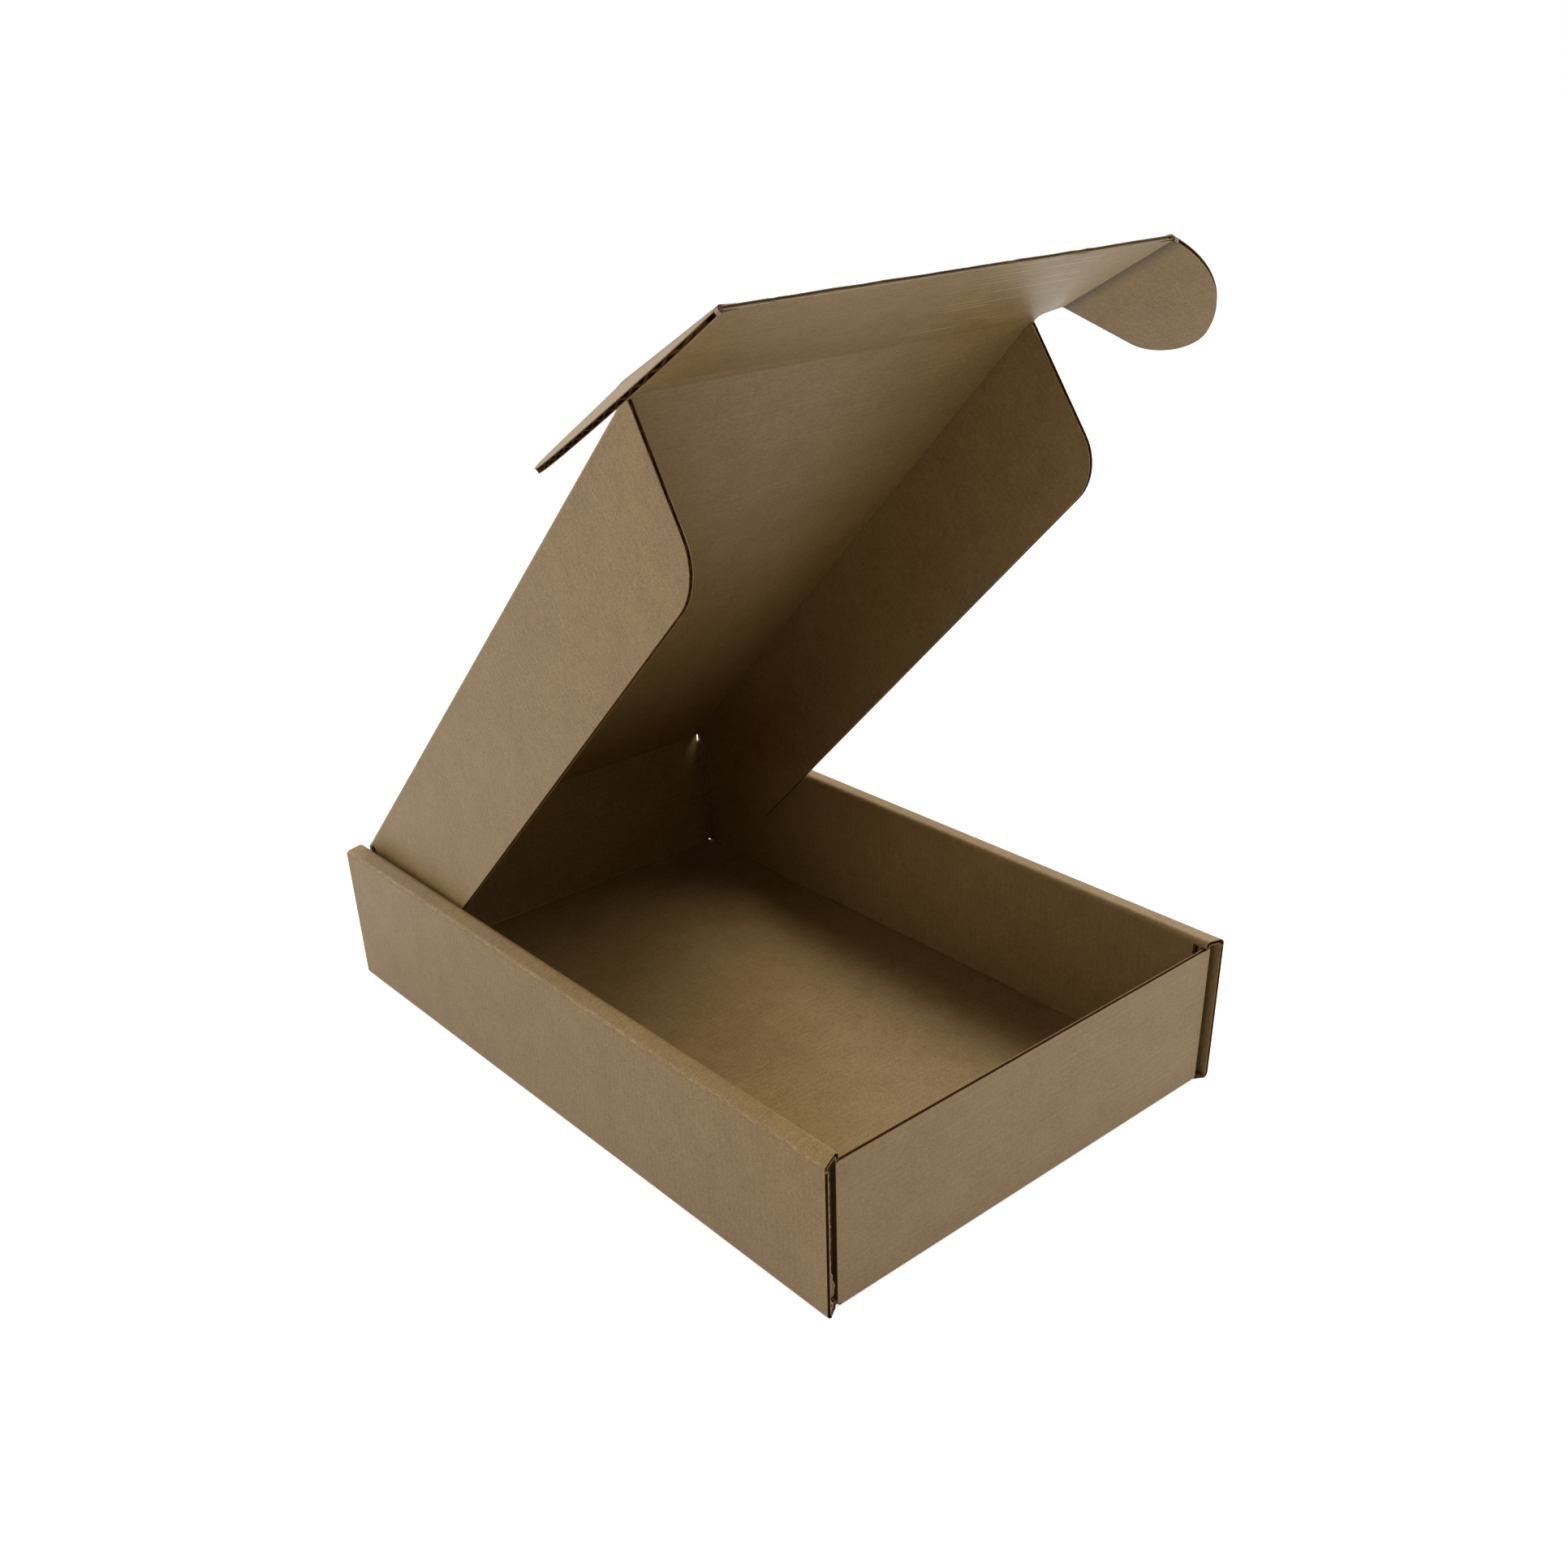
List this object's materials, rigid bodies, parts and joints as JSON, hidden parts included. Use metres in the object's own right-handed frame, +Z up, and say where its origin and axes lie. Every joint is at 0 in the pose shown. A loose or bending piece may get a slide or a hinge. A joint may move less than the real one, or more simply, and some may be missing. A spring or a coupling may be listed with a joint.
{
  "type": "corrugated mailer box",
  "caption": "Roll-end tuck-top mailer box folded from one sheet of kraft board, with a hinged lid, side wings and a tuck flap with lock ears.",
  "frame": {"origin": "centre of the underside", "axes": "+Z up, -Y the front wall, +Y the back wall with the lid's hinge, +X the right-hand side seen from the front; stored standing open"},
  "size_m": [0.311, 0.3566, 0.3488],
  "materials": {
    "kraft_board": "matt unbleached kraft liner over E-flute"
  },
  "bodies": {
    "tray": {"tray": "kraft_board"},
    "lid_panel": {"lid_panel": "kraft_board"},
    "lid_wing_left": {"lid_wing_left": "kraft_board"},
    "lid_wing_right": {"lid_wing_right": "kraft_board"},
    "tuck_flap": {"tuck_flap": "kraft_board"},
    "lock_ear_left": {"lock_ear_left": "kraft_board"},
    "lock_ear_right": {"lock_ear_right": "kraft_board"}
  },
  "joints": [
    {"name": "lid_hinge", "type": "hinge", "parent": "tray", "child": "lid_panel", "pos_m": [0, 0.1755, 0.071], "axis": [1, 0, 0], "range_deg": [-135, 45]},
    {"name": "tuck_flap_fold", "type": "hinge", "parent": "lid_panel", "child": "tuck_flap", "pos_m": [0, -0.07093, 0.31743], "axis": [1, 0, 0], "range_deg": [-17.2, 72.8]},
    {"name": "ear_fold_left", "type": "hinge", "parent": "tuck_flap", "child": "lock_ear_left", "pos_m": [-0.1055, -0.12842, 0.34774], "axis": [0.0177, -0.8844, 0.4663], "range_deg": [-25.5, 64.5]},
    {"name": "ear_fold_right", "type": "hinge", "parent": "tuck_flap", "child": "lock_ear_right", "pos_m": [0.1055, -0.12842, 0.34774], "axis": [0.0177, 0.8844, -0.4663], "range_deg": [-31, 59]},
    {"name": "wing_fold_left", "type": "hinge", "parent": "lid_panel", "child": "lid_wing_left", "pos_m": [-0.1035, 0.17473, 0.07019], "axis": [0.0158, -0.707, 0.707], "range_deg": [0, 62.5]},
    {"name": "wing_fold_right", "type": "hinge", "parent": "lid_panel", "child": "lid_wing_right", "pos_m": [0.1035, 0.17473, 0.07019], "axis": [0.0158, 0.707, -0.707], "range_deg": [0, 62.5]}
  ]
}
